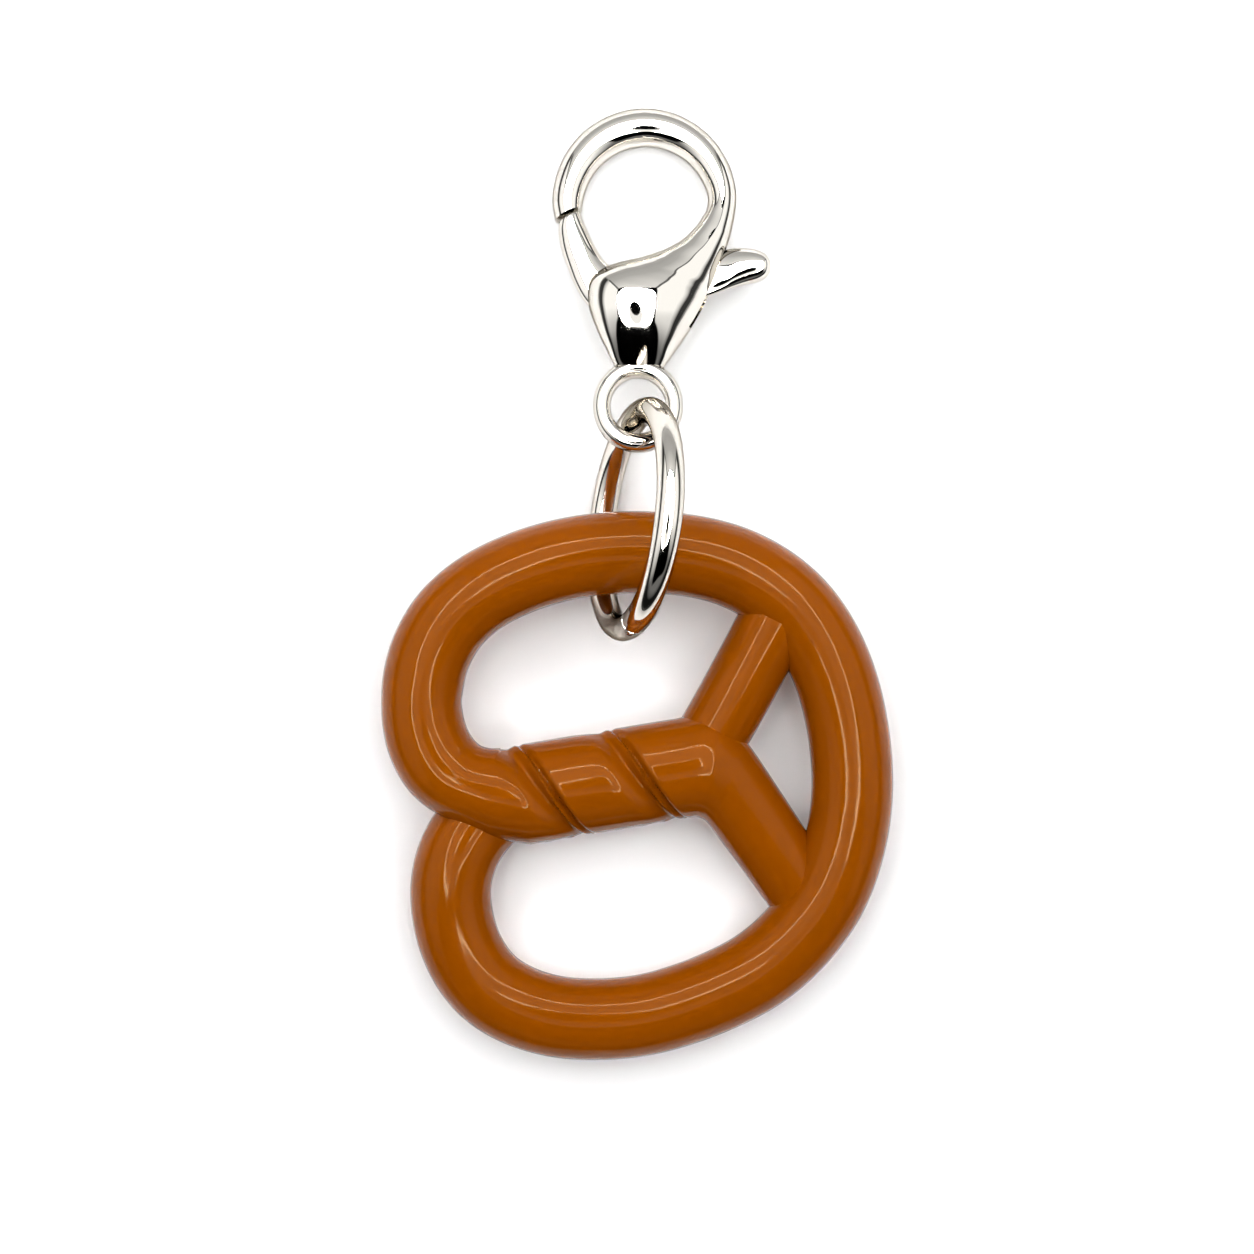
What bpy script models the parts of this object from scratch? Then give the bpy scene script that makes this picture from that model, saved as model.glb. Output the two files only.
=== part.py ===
"""A plastic pretzel charm that lies on its back: moulded pretzel, wire jump ring and lobster clasp.

Lengths in the tables are millimetres; the scene is in metres, +Z up, shown side up.
The pretzel and the clasp are drawn in their own flat planes and then leaned into the resting pose.
"""
import math

import bmesh
import bpy
import numpy as np
from mathutils import Matrix, Vector

MM = 0.001

# Pretzel: one plastic tube, fused where it crosses
TUBE_R = 2.62
ARM_R = 2.33
PRETZEL_ORIGIN = (0.837, -13.441, 3.970)
PRETZEL_LEAN = 5.37
PRETZEL_PIVOT = (-2.04, 11.68, 0.0)
LOOP = [
    (-14.41, 3.76), (-14.67, 6.19), (-14.10, 8.68), (-12.83, 10.94), (-10.86, 12.69), (-8.36, 13.96),
    (-5.68, 14.80), (-2.98, 15.22), (-0.07, 15.30), (2.65, 15.06), (5.12, 14.44), (7.40, 13.29),
    (9.29, 11.71), (10.74, 9.70), (11.79, 7.39), (12.48, 4.95), (12.87, 2.49), (12.99, 0.05),
    (12.78, -2.32), (12.24, -4.64), (11.40, -6.81), (10.15, -8.75), (8.56, -10.51), (6.70, -11.96),
    (4.51, -13.10), (2.08, -14.06), (-0.44, -14.74), (-3.11, -15.00), (-5.86, -14.87), (-8.37, -14.16),
    (-10.47, -12.85), (-11.91, -10.86), (-12.70, -8.44), (-12.82, -5.91),
]
UPPER_BEND = [(-6.50, 0.00, 0.40), (-8.00, -0.25, 0.60), (-9.60, -0.42, 0.60), (-11.40, 0.00, 0.40),
              (-13.20, 1.50, 0.15)]
LOWER_BEND = [(-12.11, -3.60, -0.40), (-10.90, -1.75, -0.70), (-9.40, -0.80, -0.80), (-7.50, -0.20, -0.60),
              (-6.30, 0.00, -0.40)]
LOWER_ARM = [(2.20, 1.45, 0.20, 2.95), (3.70, 1.65, 0.30, 2.85), (4.75, 1.00, 0.30, 2.60),
             (5.60, -0.35, 0.30, 2.40), (7.45, -3.37, 0.25, 2.33), (10.08, -7.49, 0.00, 2.30)]
UPPER_ARM = [(2.60, 0.60, -0.40, 2.40), (3.90, 2.55, -0.35, 2.40), (5.10, 4.65, -0.30, 2.36),
             (6.38, 7.01, -0.20, 2.33), (7.98, 10.32, 0.00, 2.30)]

# Twist: a notched bar turned along its length
TWIST_START = (-9.00, -0.42)
TWIST_END = (4.20, 1.79)
TWIST_R = 3.22
TWIST_NOTCH = 0.55
TWIST_NOTCH_WIDTH = 0.42
TWIST_PITCH = 12.8
TWIST_NOTCH_AT = -8.4
TWIST_SIDES = 28
TWIST_STEPS = 26

# Jump ring: round wire, nearly upright through the eye and round the pretzel's top
RING_CENTRE = (-0.185, 3.812, 7.37)
RING_R = 6.86
WIRE_R = 0.85
RING_LONG = (0.115, 0.993, 0.0)
RING_UP = (0.30, 0.0, 0.954)

# Lobster clasp: hook, domed body and eye in one casting
CLASP_ORIGIN = (0.061, 11.134, 4.976)
CLASP_LEAN = -12.0
EYE_R = 2.31
EYE_WIRE = 0.56
EYE_STRETCH = 1.07
EYE_THICK = 0.68
CLASP_STATIONS = [
    (-3.62, 13.28, -5.33, 12.50, 0.98, 2.0), (-3.53, 14.01, -5.55, 13.80, 1.02, 2.0),
    (-3.29, 14.87, -5.43, 15.13, 1.05, 2.0), (-2.80, 15.87, -4.87, 16.80, 1.07, 2.0),
    (-2.08, 16.71, -3.89, 18.26, 1.08, 2.0), (-1.19, 17.33, -2.58, 19.36, 1.08, 2.0),
    (-0.17, 17.67, -1.02, 20.04, 1.08, 2.0), (0.90, 17.72, 0.65, 20.23, 1.08, 2.0),
    (1.94, 17.47, 2.30, 19.91, 1.08, 2.0), (2.88, 16.94, 3.81, 19.12, 1.07, 2.0),
    (3.66, 16.17, 5.05, 17.92, 1.06, 2.0), (4.23, 15.22, 5.92, 16.40, 1.05, 2.0),
    (4.54, 14.28, 6.30, 15.13, 1.05, 2.0), (4.50, 13.38, 6.41, 14.00, 1.08, 2.0),
    (4.12, 12.60, 6.26, 12.75, 1.14, 2.1), (3.53, 11.76, 6.00, 11.56, 1.26, 2.2),
    (2.65, 10.90, 5.71, 10.56, 1.42, 2.3), (1.56, 10.25, 5.48, 9.85, 1.58, 2.4),
    (0.42, 9.79, 5.24, 9.18, 1.72, 2.5), (-0.64, 9.49, 5.00, 8.55, 1.82, 2.6),
    (-1.68, 9.22, 4.78, 7.96, 1.88, 2.6), (-2.42, 8.85, 4.55, 7.36, 1.90, 2.6),
    (-2.96, 8.25, 4.30, 6.80, 1.90, 2.6), (-3.16, 7.50, 3.97, 6.15, 1.88, 2.6),
    (-3.10, 6.55, 3.61, 5.51, 1.80, 2.5), (-2.80, 5.55, 3.20, 4.88, 1.66, 2.4),
    (-2.36, 4.50, 2.78, 4.22, 1.46, 2.3), (-1.92, 3.62, 2.31, 3.55, 1.22, 2.2),
    (-1.60, 2.93, 1.92, 2.95, 1.00, 2.1), (-1.25, 2.35, 1.45, 2.38, 0.62, 2.0),
]
SECTION_SIDES = 24

# Gate: sprung arm, bar and thumb lever in one piece, on a pin hidden from the front
PIN_AT = (-1.20, 6.90)
PIN_R = 0.50
PIN_RUN = 0.07
PIN_FRONT = 1.15
PIN_BACK = -1.66
GATE_HALF = 0.66
GATE_BEVEL = 0.16
SLOT_HALF = 0.76
GATE_OUTLINE = [
    (-4.98, 12.48), (-3.76, 13.02), (-3.45, 12.41), (-3.04, 11.35), (-2.62, 10.47),
    (-2.20, 9.90), (-1.62, 9.28), (-0.90, 8.60), (0.10, 8.30), (1.20, 8.45), (2.40, 8.85), (3.60, 9.50),
    (4.70, 10.20), (5.60, 10.55), (6.59, 10.59), (7.50, 10.54), (8.16, 10.21), (8.48, 9.73), (8.57, 9.34),
    (8.39, 8.77), (7.93, 8.38), (6.78, 8.19), (5.66, 7.71), (4.97, 7.34), (3.80, 7.00), (2.00, 6.35),
    (0.60, 5.90), (-0.40, 5.68), (-1.20, 5.60), (-1.95, 5.74), (-2.62, 6.15), (-3.34, 6.92),
    (-4.00, 7.95), (-4.56, 9.42), (-4.92, 10.51), (-5.12, 11.60), (-5.16, 12.15),
]
SLOT_OUTLINE = [
    (-8.00, 6.74), (-3.46, 6.74), (-2.70, 5.97), (-1.98, 5.54), (-1.25, 5.36), (4.30, 5.14), (9.50, 5.14),
    (9.50, 10.86), (4.62, 10.86), (3.30, 9.78), (1.20, 8.84), (0.20, 8.74), (-0.40, 9.10), (-0.40, 12.05),
    (-8.00, 12.05),
]
FLOOR_CUT = (70.0, 90.0, 4.0)

PLASTIC = (0.371, 0.103, 0.007, 1.0)
NICKEL = (0.62, 0.59, 0.55, 1.0)


def clear_scene():
    for found in list(bpy.data.objects):
        bpy.data.objects.remove(found, do_unlink=True)


def new_collection(name):
    made = bpy.data.collections.new(name)
    bpy.context.scene.collection.children.link(made)
    return made


def principled(name, colour, metallic, roughness):
    made = bpy.data.materials.new(name)
    made.use_nodes = True
    shader = made.node_tree.nodes["Principled BSDF"]
    shader.inputs["Base Color"].default_value = colour
    shader.inputs["Metallic"].default_value = metallic
    shader.inputs["Roughness"].default_value = roughness
    made.diffuse_color = colour
    return made


def leaned(origin, degrees):
    return Matrix.Translation(Vector(origin) * MM) @ Matrix.Rotation(math.radians(degrees), 4, "X")


def add_mesh(name, bm, home, material=None):
    bmesh.ops.remove_doubles(bm, verts=bm.verts, dist=0.00001)
    bmesh.ops.recalc_face_normals(bm, faces=bm.faces)
    mesh = bpy.data.meshes.new(name)
    bm.to_mesh(mesh)
    bm.free()
    if material is not None:
        mesh.materials.append(material)
    mesh.shade_smooth()
    made = bpy.data.objects.new(name, mesh)
    home.objects.link(made)
    return made


def set_pivot(item, frame, pivot=(0.0, 0.0, 0.0)):
    offset = Matrix.Translation(Vector(pivot) * MM)
    item.data.transform(offset.inverted())
    item.matrix_world = frame @ offset


def smooth_path(points, per_span):
    """Catmull-Rom points through the given rows, ends kept."""
    rows = np.array(points, dtype=float)
    padded = np.vstack([2 * rows[0] - rows[1], rows, 2 * rows[-1] - rows[-2]])
    out = []
    for i in range(len(rows) - 1):
        p0, p1, p2, p3 = padded[i:i + 4]
        for step in range(per_span):
            t = step / per_span
            out.append(0.5 * (2 * p1 + (p2 - p0) * t + (2 * p0 - 5 * p1 + 4 * p2 - p3) * t ** 2
                              + (3 * p1 - p0 - 3 * p2 + p3) * t ** 3))
    out.append(rows[-1])
    return np.array(out)


def tube(name, rows, resolution, home, material=None):
    """Round tube along rows of x, y, z, radius, as a mesh object."""
    data = bpy.data.curves.new(name + "_path", "CURVE")
    data.dimensions = "3D"
    data.bevel_depth = MM
    data.bevel_resolution = resolution
    data.use_fill_caps = True
    spline = data.splines.new("POLY")
    spline.points.add(len(rows) - 1)
    for point, row in zip(spline.points, rows):
        point.co = (row[0] * MM, row[1] * MM, row[2] * MM, 1.0)
        point.radius = row[3]
    path = bpy.data.objects.new(name + "_path", data)
    home.objects.link(path)
    bpy.context.view_layer.update()
    evaluated = path.evaluated_get(bpy.context.evaluated_depsgraph_get())
    raw = bpy.data.meshes.new_from_object(evaluated)
    bm = bmesh.new()
    bm.from_mesh(raw)
    bpy.data.objects.remove(path, do_unlink=True)
    bpy.data.meshes.remove(raw)
    return add_mesh(name, bm, home, material)


def boolean(target, other, operation, own_crossings=False):
    step = target.modifiers.new(operation.lower() + "_" + other.name, "BOOLEAN")
    step.operation = operation
    step.solver = "EXACT"
    step.use_self = own_crossings
    step.object = other


def as_cutter(item):
    item.hide_render = True
    item.display_type = "WIRE"


def prism(name, outline, low, high, home, material=None, bevel=0.0):
    """Flat outline extruded from low to high along the plane's normal."""
    bm = bmesh.new()
    ring = [bm.verts.new((x * MM, y * MM, low * MM)) for x, y in outline]
    face = bm.faces.new(ring)
    grown = bmesh.ops.extrude_face_region(bm, geom=[face])
    top = [item for item in grown["geom"] if isinstance(item, bmesh.types.BMVert)]
    bmesh.ops.translate(bm, verts=top, vec=(0.0, 0.0, (high - low) * MM))
    bmesh.ops.recalc_face_normals(bm, faces=bm.faces)
    if bevel:
        rims = [edge for edge in bm.edges if abs(edge.verts[0].co.z - edge.verts[1].co.z) < 1e-7]
        bmesh.ops.bevel(bm, geom=rims, offset=bevel * MM, segments=2, profile=0.5, affect="EDGES", material=-1)
    return add_mesh(name, bm, home, material)


def cylinder(name, radius, low, high, at, home, material=None, sides=24):
    bm = bmesh.new()
    middle = Matrix.Translation(Vector((at[0], at[1], (low + high) / 2)) * MM)
    bmesh.ops.create_cone(bm, cap_ends=True, segments=sides, radius1=radius * MM, radius2=radius * MM,
                          depth=(high - low) * MM, matrix=middle)
    return add_mesh(name, bm, home, material)


def twist_bar(name, home):
    """Bar with two notches, spun about its own axis while it moves along it."""
    start = Vector((TWIST_START[0], TWIST_START[1], 0.0))
    along = Vector((TWIST_END[0] - TWIST_START[0], TWIST_END[1] - TWIST_START[1], 0.0))
    length = along.length
    axis = along.normalized()
    across = Vector((-axis.y, axis.x, 0.0))
    up = Vector((0.0, 0.0, 1.0))
    travelled = TWIST_START[0] - TWIST_NOTCH_AT
    first = 2 * math.pi * travelled / TWIST_PITCH
    bm = bmesh.new()
    ring = []
    for i in range(TWIST_SIDES):
        angle = 2 * math.pi * i / TWIST_SIDES
        gap = (angle - first + math.pi / 2) % math.pi - math.pi / 2
        radius = TWIST_R - TWIST_NOTCH * math.exp(-(gap / TWIST_NOTCH_WIDTH) ** 2)
        place = start + across * math.cos(angle) * radius + up * math.sin(angle) * radius
        ring.append(bm.verts.new(place * MM))
    cap = bm.faces.new(ring)
    grown = bmesh.ops.spin(bm, geom=[cap], cent=start * MM, axis=axis, dvec=axis * length * MM / TWIST_STEPS,
                           angle=2 * math.pi * length / TWIST_PITCH, steps=TWIST_STEPS, use_duplicate=False)
    del grown
    return add_mesh(name, bm, home)


def lofted_clasp(name, home, material):
    """Hook and body in one run: a section between the inner and outer edge at each station."""
    rows = smooth_path(CLASP_STATIONS, 2)
    bm = bmesh.new()
    rings = []
    for in_x, in_y, out_x, out_y, height, power in rows:
        inner = Vector((in_x, in_y, 0.0))
        outer = Vector((out_x, out_y, 0.0))
        middle = (inner + outer) / 2
        half = (outer - inner) / 2
        ring = []
        for i in range(SECTION_SIDES):
            angle = 2 * math.pi * i / SECTION_SIDES
            side = math.copysign(abs(math.cos(angle)) ** (2 / power), math.cos(angle))
            rise = math.copysign(abs(math.sin(angle)) ** (2 / power), math.sin(angle))
            ring.append(bm.verts.new((middle + half * side + Vector((0.0, 0.0, height * rise))) * MM))
        rings.append(ring)
    for one, two in zip(rings, rings[1:]):
        for i in range(SECTION_SIDES):
            j = (i + 1) % SECTION_SIDES
            bm.faces.new((one[i], one[j], two[j], two[i]))
    bm.faces.new(rings[0])
    bm.faces.new(rings[-1])
    return add_mesh(name, bm, home, material)


def torus(name, major, minor, home, material, sides, wire_sides, squash=(1.0, 1.0, 1.0)):
    bm = bmesh.new()
    turned = Matrix.Translation((major * MM, 0.0, 0.0)) @ Matrix.Rotation(math.pi / 2, 4, "X")
    made = bmesh.ops.create_circle(bm, segments=wire_sides, radius=minor * MM, matrix=turned)
    edges = list({edge for vert in made["verts"] for edge in vert.link_edges})
    bmesh.ops.spin(bm, geom=made["verts"] + edges, cent=(0, 0, 0), axis=(0, 0, 1), angle=2 * math.pi,
                   steps=sides, use_merge=True)
    bmesh.ops.scale(bm, vec=squash, verts=bm.verts)
    return add_mesh(name, bm, home, material)


def build_pretzel(home, cutters, material, floor):
    frame = leaned(PRETZEL_ORIGIN, PRETZEL_LEAN)
    flat_loop = [(x, y, 0.0) for x, y in LOOP]
    path = smooth_path(UPPER_BEND + flat_loop + LOWER_BEND, 2)
    rows = np.hstack([path, np.full((len(path), 1), TUBE_R)])
    body = tube("pretzel", rows, 4, home, material)
    parts = [twist_bar("twist_bar", cutters),
             tube("lower_arm", smooth_path(LOWER_ARM, 3), 4, cutters),
             tube("upper_arm", smooth_path(UPPER_ARM, 3), 4, cutters)]
    for part in parts:
        set_pivot(part, frame)
        as_cutter(part)
        boolean(body, part, "UNION", own_crossings=True)
    set_pivot(body, frame, PRETZEL_PIVOT)
    boolean(body, floor, "DIFFERENCE")
    return body


def build_ring(home, material, floor, eye_frame):
    body = torus("ring", RING_R, WIRE_R, home, material, 64, 14)
    long_way = Vector(RING_LONG).normalized()
    up = Vector(RING_UP)
    up = (up - long_way * up.dot(long_way)).normalized()
    turn = Matrix((long_way, up, long_way.cross(up))).transposed().to_4x4()
    frame = Matrix.Translation(Vector(RING_CENTRE) * MM) @ turn
    hung_on = eye_frame @ (Vector((0.0, -EYE_R * EYE_STRETCH, 0.0)) * MM)
    set_pivot(body, frame, (frame.inverted() @ hung_on) / MM)
    boolean(body, floor, "DIFFERENCE")
    return body


def build_clasp(home, cutters, metal, gate_metal, pin_metal, floor):
    frame = leaned(CLASP_ORIGIN, CLASP_LEAN)
    body = lofted_clasp("clasp_body", home, metal)
    eye = torus("eye", EYE_R, EYE_WIRE, cutters, metal, 40, 14, (1.0, EYE_STRETCH, EYE_THICK / EYE_WIRE))
    slot = prism("slot", SLOT_OUTLINE, -SLOT_HALF, SLOT_HALF, cutters)
    body_hole = cylinder("body_hole", PIN_R + 0.05, -3.0, PIN_FRONT + 0.08, PIN_AT, cutters)
    gate = prism("clasp_gate", GATE_OUTLINE, -GATE_HALF, GATE_HALF, home, gate_metal, GATE_BEVEL)
    gate_hole = cylinder("gate_hole", PIN_R + PIN_RUN, -2.0, 2.0, PIN_AT, cutters)
    pin = cylinder("clasp_pin", PIN_R, PIN_BACK, PIN_FRONT, PIN_AT, home, pin_metal)
    for item in (body, eye, slot, body_hole, gate_hole):
        set_pivot(item, frame)
    set_pivot(gate, frame, (PIN_AT[0], PIN_AT[1], 0.0))
    set_pivot(pin, frame, (PIN_AT[0], PIN_AT[1], 0.0))
    for item in (eye, slot, body_hole, gate_hole):
        as_cutter(item)
    boolean(body, eye, "UNION")
    boolean(body, slot, "DIFFERENCE")
    boolean(body, body_hole, "DIFFERENCE")
    boolean(body, floor, "DIFFERENCE")
    boolean(gate, gate_hole, "DIFFERENCE")
    return frame


def main():
    clear_scene()
    home = new_collection("pretzel_charm")
    cutters = new_collection("cutters")
    plastic = principled("pretzel_plastic", PLASTIC, 0.0, 0.22)
    ring_metal = principled("ring_nickel", NICKEL, 1.0, 0.12)
    clasp_metal = principled("clasp_nickel", NICKEL, 1.0, 0.10)
    gate_metal = principled("gate_nickel", NICKEL, 1.0, 0.12)
    pin_metal = principled("pin_nickel", NICKEL, 1.0, 0.20)
    bm = bmesh.new()
    bmesh.ops.create_cube(bm, size=1.0)
    bmesh.ops.scale(bm, vec=[side * MM for side in FLOOR_CUT], verts=bm.verts)
    bmesh.ops.translate(bm, vec=(0.0, 0.0, -FLOOR_CUT[2] / 2 * MM), verts=bm.verts)
    floor = add_mesh("floor_cut", bm, cutters)
    as_cutter(floor)
    build_pretzel(home, cutters, plastic, floor)
    eye_frame = build_clasp(home, cutters, clasp_metal, gate_metal, pin_metal, floor)
    build_ring(home, ring_metal, floor, eye_frame)


main()
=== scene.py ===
"""Looks of a plastic pretzel charm on a jump ring and a lobster clasp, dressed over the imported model.

Sizes are millimetres in the tables and metres in the scene. The shown side faces +Z.
"""
import math

import bmesh
import bpy
import numpy as np
from bpy.props import FloatProperty, IntProperty, PointerProperty, StringProperty
from bpy.types import Operator, Panel, PropertyGroup
from mathutils import Matrix, Vector


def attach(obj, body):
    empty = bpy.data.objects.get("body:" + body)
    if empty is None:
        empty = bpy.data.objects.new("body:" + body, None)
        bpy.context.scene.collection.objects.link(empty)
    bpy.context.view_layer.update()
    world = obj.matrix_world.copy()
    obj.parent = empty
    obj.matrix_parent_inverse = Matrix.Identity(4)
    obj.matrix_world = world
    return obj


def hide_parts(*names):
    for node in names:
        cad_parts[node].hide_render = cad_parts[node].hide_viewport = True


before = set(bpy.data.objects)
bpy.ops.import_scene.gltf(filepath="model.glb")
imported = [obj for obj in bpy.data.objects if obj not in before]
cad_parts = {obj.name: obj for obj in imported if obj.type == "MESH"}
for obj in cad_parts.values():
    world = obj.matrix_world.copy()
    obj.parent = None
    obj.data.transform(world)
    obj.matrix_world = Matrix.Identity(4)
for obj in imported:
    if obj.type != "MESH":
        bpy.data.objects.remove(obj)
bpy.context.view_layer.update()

bl_info = {
    "name": "Pretzel Charm",
    "version": (1, 0, 0),
    "blender": (4, 5, 0),
    "location": "View3D > Sidebar > Pretzel Charm",
    "description": "Builds a moulded plastic pretzel on a jump ring and a lobster clasp",
    "category": "Object",
}

MM = 0.001

# Resting poses of the three links, the same as in the solids
PRETZEL_ORIGIN = (0.837, -13.441, 3.970)
PRETZEL_LEAN = 5.37
CLASP_ORIGIN = (0.061, 11.134, 4.976)
CLASP_LEAN = -12.0
RING_CENTRE = (-0.185, 3.812, 7.37)
RING_LONG = (0.115, 0.993, 0.0)
RING_UP = (0.30, 0.0, 0.954)

# Middle line of the pretzel's loop, from the upper left lobe round by the top, right and bottom
LOOP = [
    (-14.41, 3.76), (-14.67, 6.19), (-14.10, 8.68), (-12.83, 10.94), (-10.86, 12.69), (-8.36, 13.96),
    (-5.68, 14.80), (-2.98, 15.22), (-0.07, 15.30), (2.65, 15.06), (5.12, 14.44), (7.40, 13.29),
    (9.29, 11.71), (10.74, 9.70), (11.79, 7.39), (12.48, 4.95), (12.87, 2.49), (12.99, 0.05),
    (12.78, -2.32), (12.24, -4.64), (11.40, -6.81), (10.15, -8.75), (8.56, -10.51), (6.70, -11.96),
    (4.51, -13.10), (2.08, -14.06), (-0.44, -14.74), (-3.11, -15.00), (-5.86, -14.87), (-8.37, -14.16),
    (-10.47, -12.85), (-11.91, -10.86), (-12.70, -8.44), (-12.82, -5.91),
]
# x, y, z and radius where the lower lobe dives under the twist, hidden end first
DIVE = [
    (-7.40, -0.05, -0.55, 2.20), (-9.10, -0.75, -0.75, 2.46), (-10.75, -1.85, -0.58, 2.58),
    (-12.10, -3.60, -0.14, 2.62),
]
# Inner edge, outer edge, z and half height where the upper lobe bends into the twist
BEND = [
    (-12.05, 5.60, -17.24, 5.00, 0.06, 2.62), (-11.88, 4.54, -16.92, 2.98, 0.14, 2.62),
    (-11.50, 3.62, -16.25, 1.25, 0.24, 2.63), (-10.95, 2.98, -15.30, -0.15, 0.32, 2.68),
    (-10.42, 2.78, -14.05, -1.20, 0.34, 2.78), (-9.92, 2.73, -12.60, -1.98, 0.28, 2.90),
    (-9.46, 2.74, -11.25, -2.66, 0.18, 3.03), (-9.02, 2.80, -10.05, -3.20, 0.08, 3.13),
]
# The twist's middle line, its slope in degrees, and where its straight part starts and ends along it
TWIST_MIDDLE = (-2.89, 0.60)
TWIST_SLOPE = 9.6
TWIST_FROM = -5.35
TWIST_TO = 5.6
# Where the grooves start along the twist, how far one runs over the front, and how far it is to the next
GROOVE_AT = (-5.48, 0.53)
GROOVE_RUN = 3.95
GROOVE_STEP = 6.01
# The groove's section along the twist: a wide valley, a thin ridge and a narrow second valley
VALLEY_AT = -0.35
VALLEY_LEFT = 0.75
VALLEY_RIGHT = 0.40
SECOND_AT = 0.44
SECOND_WIDTH = 0.20
SECOND_SHARE = 0.72
# The share of the depth that the back gets, where the grooves fade in, and over what length at each end
BACK_SHARE = 0.16
FADE_FROM = -6.9
FADE_IN = 0.9
FADE_OUT = 0.6
# The stretch that is pressed, the rings before the twist that it takes in, and the core that it leaves
PRESS_FROM = -8.0
PRESS_TO = 7.2
PRESS_LEAD = 12
PRESS_CORE = 0.5
# The mould's seam along the twist's lower side: half its angle in radians, its height and its unevenness
SEAM_ANGLE = 0.05
SEAM_HEIGHT = 0.05
SEAM_WAVE = 0.03
SEAM_WAVES = 4.1
# Outer and inner edges round the elbow, where the twist turns into the lower arm
ELBOW_OUTER = [
    (2.88, 5.00), (3.84, 4.90), (4.80, 4.50), (5.76, 3.68), (6.73, 2.44), (8.35, -0.02), (9.97, -2.51),
    (11.80, -5.30),
]
ELBOW_INNER = [
    (3.10, -1.76), (3.36, -1.82), (3.58, -1.98), (3.80, -2.24), (4.10, -2.63), (5.40, -4.45), (7.10, -6.84),
    (8.90, -9.40),
]
# Share of the elbow's run and its half height there, after the twist's own radius, and its lift
ELBOW_HEIGHT = [(0.22, 3.00), (0.45, 2.50), (0.78, 2.32), (1.0, 2.26)]
ELBOW_LIFT = [(0.0, 0.0), (0.3, 0.15), (0.55, 0.15), (0.78, -0.35), (1.0, -0.75)]
# x, y, z and radius of the upper arm, from the twist to the loop
UPPER_ARM = [
    (2.30, 0.20, -0.55, 2.10), (3.20, 2.10, -0.50, 2.26), (4.80, 4.90, -0.35, 2.30),
    (6.60, 8.30, -0.15, 2.30), (8.00, 11.05, 0.00, 2.30),
]
# Points drawn between two rows of a list, and the gap between the pretzel's rings
SPAN = 8
FINE_SPAN = 12
CLASP_SPAN = 7
LOOP_GAP = 0.34
BAR_GAP = 0.1
ELBOW_GAP = 0.2
ARM_GAP = 0.3
# Passes that smooth the loop into the twist, and the twist's last rings into the elbow
BEND_BLUR = 5
ELBOW_BLUR = 12
ELBOW_LEAD = 8

# The jump ring's rings of vertices, the gap of its cut, and how far back and how much its ends are rounded
RING_STEPS = 200
CUT_GAP = 0.03
CUT_EDGE = 0.05
CUT_SHARE = 0.90
WIRE_SIDES = 40

# Hook and body of the clasp: inner edge, outer edge, front and back thickness, squareness
CLASP_STATIONS = [
    (-3.62, 13.28, -5.33, 12.50, 1.02, 0.98, 2.0), (-3.53, 14.01, -5.55, 13.80, 1.12, 1.02, 2.0),
    (-3.29, 14.87, -5.43, 15.13, 1.18, 1.05, 2.0), (-2.80, 15.87, -4.87, 16.80, 1.22, 1.07, 2.0),
    (-2.08, 16.71, -3.89, 18.26, 1.24, 1.08, 2.0), (-1.19, 17.33, -2.58, 19.36, 1.25, 1.08, 2.0),
    (-0.17, 17.67, -1.02, 20.04, 1.25, 1.08, 2.0), (0.90, 17.72, 0.65, 20.23, 1.25, 1.08, 2.0),
    (1.94, 17.47, 2.30, 19.91, 1.25, 1.08, 2.0), (2.88, 16.94, 3.81, 19.12, 1.24, 1.07, 2.0),
    (3.66, 16.17, 5.05, 17.92, 1.22, 1.06, 2.0), (4.23, 15.22, 5.92, 16.40, 1.20, 1.05, 2.0),
    (4.54, 14.28, 6.30, 15.13, 1.18, 1.05, 2.0), (4.50, 13.38, 6.41, 14.00, 1.18, 1.08, 2.0),
    (4.12, 12.60, 6.26, 12.75, 1.24, 1.14, 2.1), (3.53, 11.76, 6.00, 11.56, 1.38, 1.26, 2.2),
    (2.65, 10.90, 5.71, 10.56, 1.52, 1.42, 2.2), (1.56, 10.25, 5.48, 9.85, 1.70, 1.58, 2.2),
    (0.42, 9.79, 5.24, 9.18, 1.88, 1.72, 2.2), (-0.64, 9.49, 5.00, 8.55, 2.09, 1.82, 2.2),
    (-1.68, 9.22, 4.78, 7.96, 2.32, 1.88, 2.1), (-2.42, 8.85, 4.55, 7.36, 2.54, 1.90, 2.1),
    (-2.96, 8.25, 4.30, 6.80, 2.72, 1.90, 2.1), (-3.16, 7.50, 3.97, 6.15, 2.84, 1.88, 2.0),
    (-3.10, 6.55, 3.61, 5.51, 2.78, 1.80, 2.0), (-2.80, 5.55, 3.20, 4.88, 2.50, 1.66, 2.1),
    (-2.36, 4.50, 2.78, 4.22, 2.05, 1.46, 2.3), (-1.92, 3.62, 2.31, 3.55, 1.54, 1.22, 2.5),
    (-1.62, 2.93, 1.92, 2.95, 1.06, 0.92, 2.5), (-1.30, 2.40, 1.50, 2.42, 0.62, 0.62, 2.4),
    (-1.00, 2.12, 1.15, 2.14, 0.36, 0.40, 2.2),
]
# How far the body's crest leans to the left for each millimetre that it rises. It starts to lean below this
# y and leans fully this much lower.
CREST_LEAN = 0.22
CREST_FROM = 11.5
CREST_FADE = 3.0
# Squareness of the eye's rim and its length against its width
EYE_POWER = 2.15
EYE_LONG = 1.07
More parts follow.
